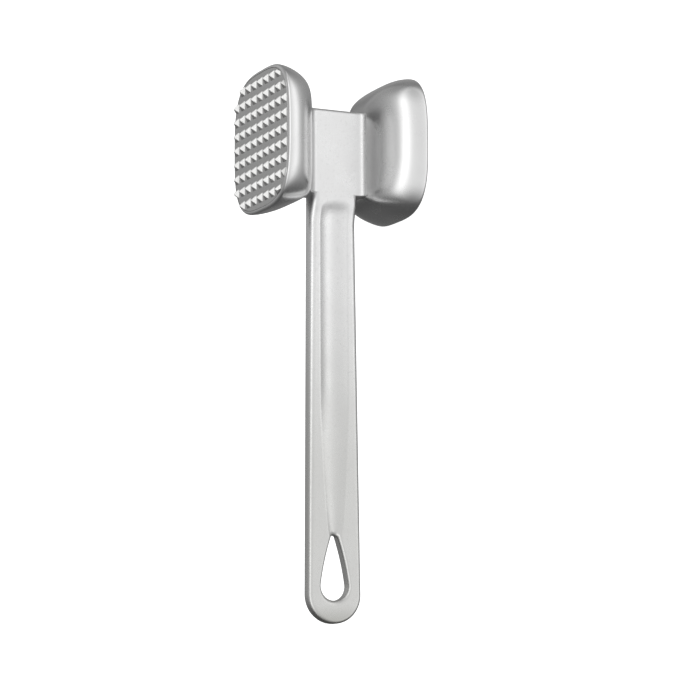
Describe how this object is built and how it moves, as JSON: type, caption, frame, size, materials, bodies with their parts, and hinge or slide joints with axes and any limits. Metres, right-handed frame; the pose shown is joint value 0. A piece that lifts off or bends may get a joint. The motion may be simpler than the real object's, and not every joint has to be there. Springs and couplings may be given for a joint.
{
  "type": "meat mallet",
  "caption": "Double-faced cast-aluminium meat mallet: a grid of pyramid teeth on one face, a flat face on the other, and a flat channelled grip with a teardrop hanging eye.",
  "frame": {"origin": "centre of the smooth striking face, which the mallet stands on", "axes": "+Z along the head's axis, from the smooth face to the toothed face; +X up the mallet, from the round end of the grip to the top of the head; +Y across the thickness of the grip"},
  "size_m": [0.2395, 0.0602, 0.0684],
  "materials": {
    "grip": "satin",
    "neck": "satin",
    "bowl": "satin, tumbled",
    "tooth_plate": "satin",
    "smooth_plate": "satin, ground flat"
  },
  "bodies": {
    "root": {"handle": "grip", "neck": "neck", "toothed_head": "bowl", "smooth_head": "bowl", "tooth_plate": "tooth_plate", "smooth_plate": "smooth_plate"}
  },
  "joints": []
}
